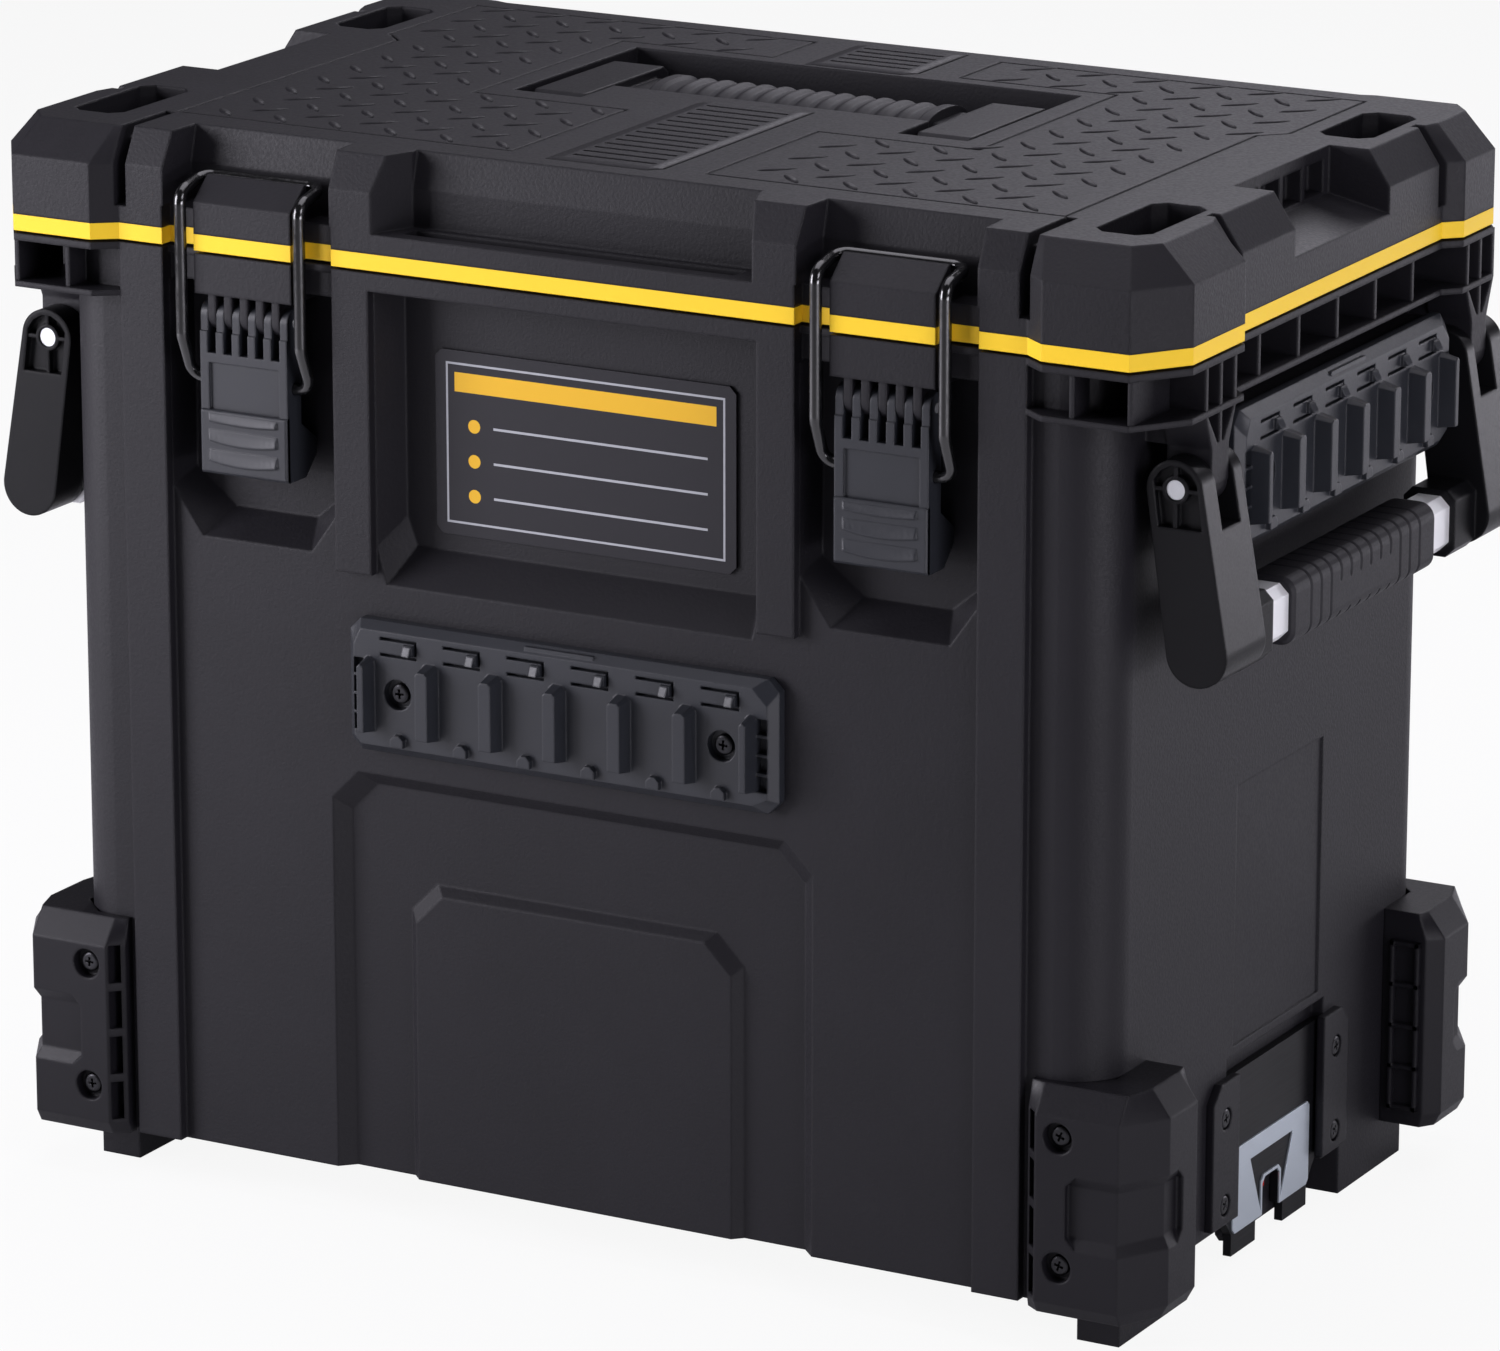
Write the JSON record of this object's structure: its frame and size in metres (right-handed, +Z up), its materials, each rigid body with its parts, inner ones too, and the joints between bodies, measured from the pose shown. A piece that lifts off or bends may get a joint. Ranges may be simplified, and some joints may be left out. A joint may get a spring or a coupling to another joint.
{
  "type": "stackable toolbox with hinged lid",
  "caption": "Tall ribbed plastic toolbox with a hinged lid, toggle latches, fold-down carrying handles, accessory rails, corner guards and sliding locks for stacking.",
  "frame": {"origin": "middle of the overall box seen from above, on the plane under the feet", "axes": "+X to the right of a person facing the latches, -Y out of the front, +Z up"},
  "size_m": [0.566, 0.34, 0.4515],
  "materials": {
    "shell_black": "fine grain",
    "band_yellow": "satin",
    "seal_rubber": "matte",
    "lever_grey": "satin",
    "wire_black": "satin black",
    "pin_steel": "bright",
    "rail_grey": "satin",
    "screw_black": "black oxide",
    "guard_black": "fine grain",
    "arm_black": "satin",
    "tube_aluminium": "satin",
    "grip_black": "satin",
    "lock_black": "hairline black",
    "lock_silver": "hairline",
    "flag_red": "gloss",
    "label_dark": "satin"
  },
  "bodies": {
    "box": {"body_shell": "shell_black", "label_plate": "label_dark", "accessory_rail_front": "rail_grey", "accessory_rail_left": "rail_grey", "accessory_rail_right": "rail_grey", "rail_screws": "screw_black", "guard_screws": "screw_black", "lock_screws": "screw_black", "lock_brackets_left": "lock_black", "lock_brackets_right": "lock_black", "lock_flag_left": "flag_red", "lock_flag_right": "flag_red", "latch_pin_left": "pin_steel", "latch_pin_right": "pin_steel", "side_handle_pins_left": "pin_steel", "side_handle_pins_right": "pin_steel", "hinge_pins": "pin_steel", "corner_guard_front_left": "guard_black", "corner_guard_front_right": "guard_black", "corner_guard_rear_left": "guard_black", "corner_guard_rear_right": "guard_black"},
    "lid": {"lid_shell": "shell_black", "parting_band": "band_yellow", "lid_seal": "seal_rubber", "top_handle_pins": "pin_steel"},
    "top_handle": {"top_handle_frame": "grip_black", "top_handle_grip": "grip_black"},
    "side_handle_left": {"side_handle_arm_left_front": "arm_black", "side_handle_arm_left_rear": "arm_black", "side_handle_bar_left": "tube_aluminium", "side_handle_grip_left": "grip_black"},
    "latch_lever_left": {"latch_lever_left": "lever_grey"},
    "latch_bail_left": {"latch_bail_left": "wire_black"},
    "stack_lock_left": {"lock_slider_left": "lock_black", "lock_face_left": "lock_silver"},
    "side_handle_right": {"side_handle_arm_right_front": "arm_black", "side_handle_arm_right_rear": "arm_black", "side_handle_bar_right": "tube_aluminium", "side_handle_grip_right": "grip_black"},
    "latch_lever_right": {"latch_lever_right": "lever_grey"},
    "latch_bail_right": {"latch_bail_right": "wire_black"},
    "stack_lock_right": {"lock_slider_right": "lock_black", "lock_face_right": "lock_silver"}
  },
  "joints": [
    {"name": "lid_hinge", "type": "hinge", "parent": "box", "child": "lid", "pos_m": [0, 0.165, 0.405], "axis": [-1, 0, 0], "range_deg": [0, 100]},
    {"name": "top_handle_swing", "type": "hinge", "parent": "lid", "child": "top_handle", "pos_m": [0, -0.0005, 0.441], "axis": [1, 0, 0], "range_deg": [0, 90]},
    {"name": "latch_lever_left", "type": "hinge", "parent": "box", "child": "latch_lever_left", "pos_m": [-0.14615, -0.1555, 0.379], "axis": [-1, 0, 0], "range_deg": [0, 100]},
    {"name": "latch_bail_left", "type": "hinge", "parent": "latch_lever_left", "child": "latch_bail_left", "pos_m": [-0.14615, -0.1565, 0.352], "axis": [1, 0, 0], "range_deg": [0, 280]},
    {"name": "side_handle_left", "type": "hinge", "parent": "box", "child": "side_handle_left", "pos_m": [-0.2597, 0.0054, 0.3535], "axis": [0, 1, 0], "range_deg": [0, 90]},
    {"name": "stack_lock_left", "type": "slide", "parent": "box", "child": "stack_lock_left", "axis": [0, 0, 1], "range_m": [0, 0.008]},
    {"name": "latch_lever_right", "type": "hinge", "parent": "box", "child": "latch_lever_right", "pos_m": [0.14615, -0.1555, 0.379], "axis": [-1, 0, 0], "range_deg": [0, 100]},
    {"name": "latch_bail_right", "type": "hinge", "parent": "latch_lever_right", "child": "latch_bail_right", "pos_m": [0.14615, -0.1565, 0.352], "axis": [1, 0, 0], "range_deg": [0, 280]},
    {"name": "side_handle_right", "type": "hinge", "parent": "box", "child": "side_handle_right", "pos_m": [0.2597, 0.0054, 0.3535], "axis": [0, -1, 0], "range_deg": [0, 90]},
    {"name": "stack_lock_right", "type": "slide", "parent": "box", "child": "stack_lock_right", "axis": [0, 0, 1], "range_m": [0, 0.008]}
  ],
  "couplings": [
    {"joint": "latch_lever_left", "follows": "lid_hinge", "ratio": 1},
    {"joint": "latch_bail_left", "follows": "lid_hinge", "ratio": 2.8},
    {"joint": "latch_lever_right", "follows": "lid_hinge", "ratio": 1},
    {"joint": "latch_bail_right", "follows": "lid_hinge", "ratio": 2.8}
  ]
}
